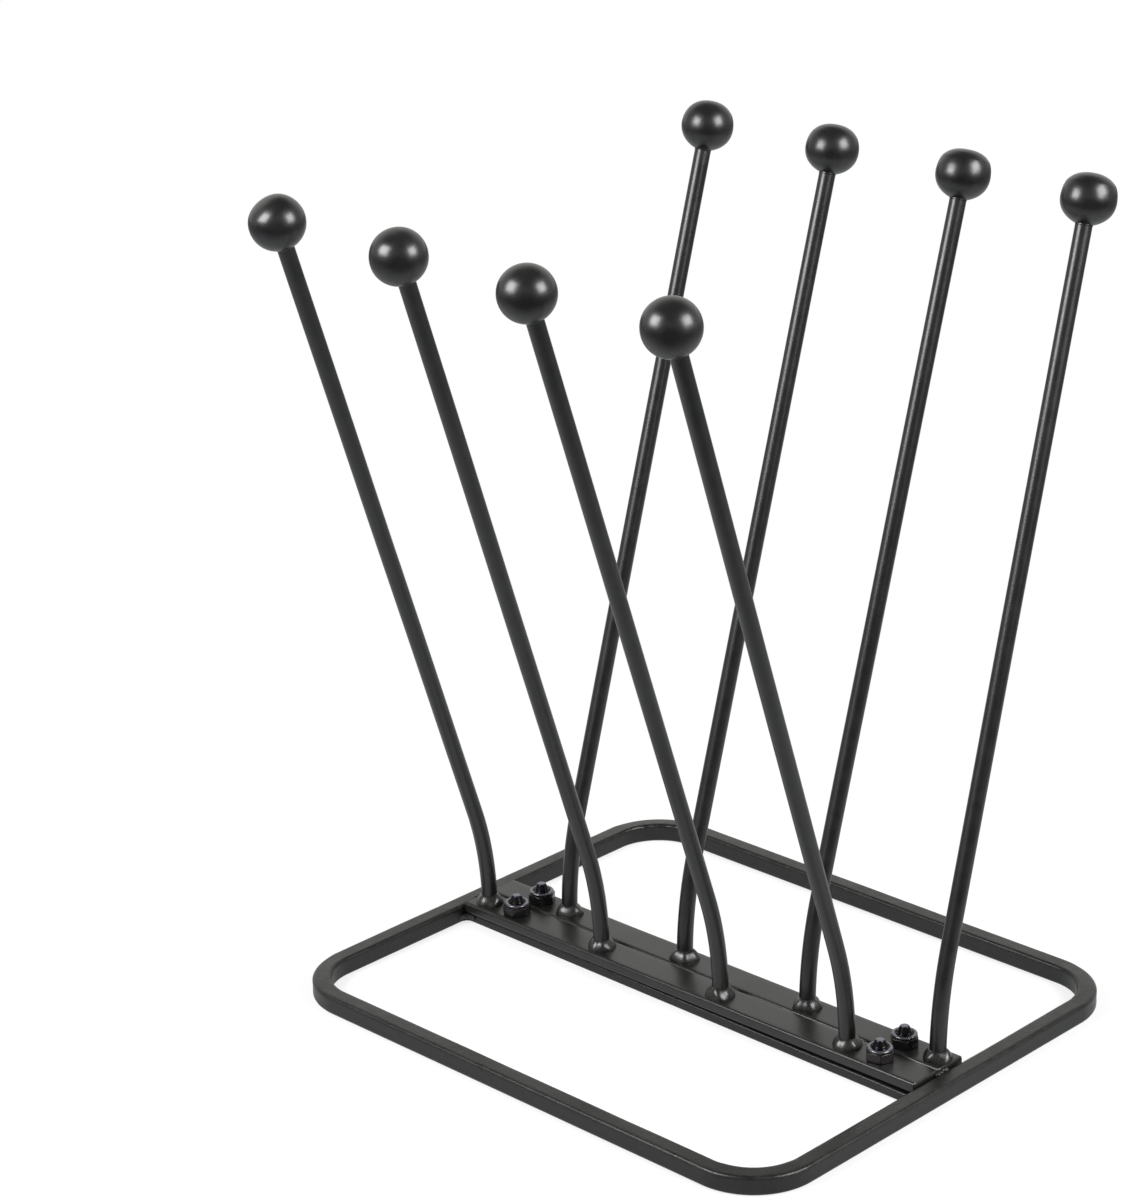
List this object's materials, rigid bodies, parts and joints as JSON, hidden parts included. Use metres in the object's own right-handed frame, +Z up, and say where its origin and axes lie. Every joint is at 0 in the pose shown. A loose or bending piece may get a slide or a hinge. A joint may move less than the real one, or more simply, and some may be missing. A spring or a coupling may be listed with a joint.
{
  "type": "boot rack",
  "caption": "Boot rack: a flat rounded base loop with a bolted centre bar, from which rows of ball-tipped rods lean outwards to hold upturned boots.",
  "frame": {"origin": "on the floor, under the middle of the base loop", "axes": "+Z up, +X along the centre bar, +Y from the front row of rods towards the rear row"},
  "size_m": [0.324, 0.3223, 0.427],
  "materials": {
    "frame_paint": "satin black powder coat",
    "strip_paint": "satin black powder coat",
    "weld_paint": "black paint over lumpy weld, slightly glossy",
    "rod_paint": "satin black powder coat",
    "ball_paint": "satin black powder coat",
    "bolt_steel": "black plated steel, slightly glossy",
    "nut_steel": "black plated steel, glossy",
    "nylon": "dark nylon"
  },
  "bodies": {
    "root": {"base_loop": "frame_paint", "cross_bar": "frame_paint", "front_strip": "strip_paint", "rear_strip": "strip_paint", "left_cross_welds": "weld_paint", "right_cross_welds": "weld_paint", "left_tack_weld": "weld_paint", "right_tack_weld": "weld_paint", "front_weld_1": "weld_paint", "front_weld_2": "weld_paint", "front_weld_3": "weld_paint", "front_weld_4": "weld_paint", "rear_weld_1": "weld_paint", "rear_weld_2": "weld_paint", "rear_weld_3": "weld_paint", "rear_weld_4": "weld_paint", "front_rod_1": "rod_paint", "front_rod_2": "rod_paint", "front_rod_3": "rod_paint", "front_rod_4": "rod_paint", "rear_rod_1": "rod_paint", "rear_rod_2": "rod_paint", "rear_rod_3": "rod_paint", "rear_rod_4": "rod_paint", "front_ball_1": "ball_paint", "front_ball_2": "ball_paint", "front_ball_3": "ball_paint", "front_ball_4": "ball_paint", "rear_ball_1": "ball_paint", "rear_ball_2": "ball_paint", "rear_ball_3": "ball_paint", "rear_ball_4": "ball_paint", "left_front_bolt": "bolt_steel", "left_rear_bolt": "bolt_steel", "right_front_bolt": "bolt_steel", "right_rear_bolt": "bolt_steel", "left_front_nut": "nut_steel", "left_rear_nut": "nut_steel", "right_front_nut": "nut_steel", "right_rear_nut": "nut_steel", "left_front_lock_ring": "nylon", "left_rear_lock_ring": "nylon", "right_front_lock_ring": "nylon", "right_rear_lock_ring": "nylon"}
  },
  "joints": []
}
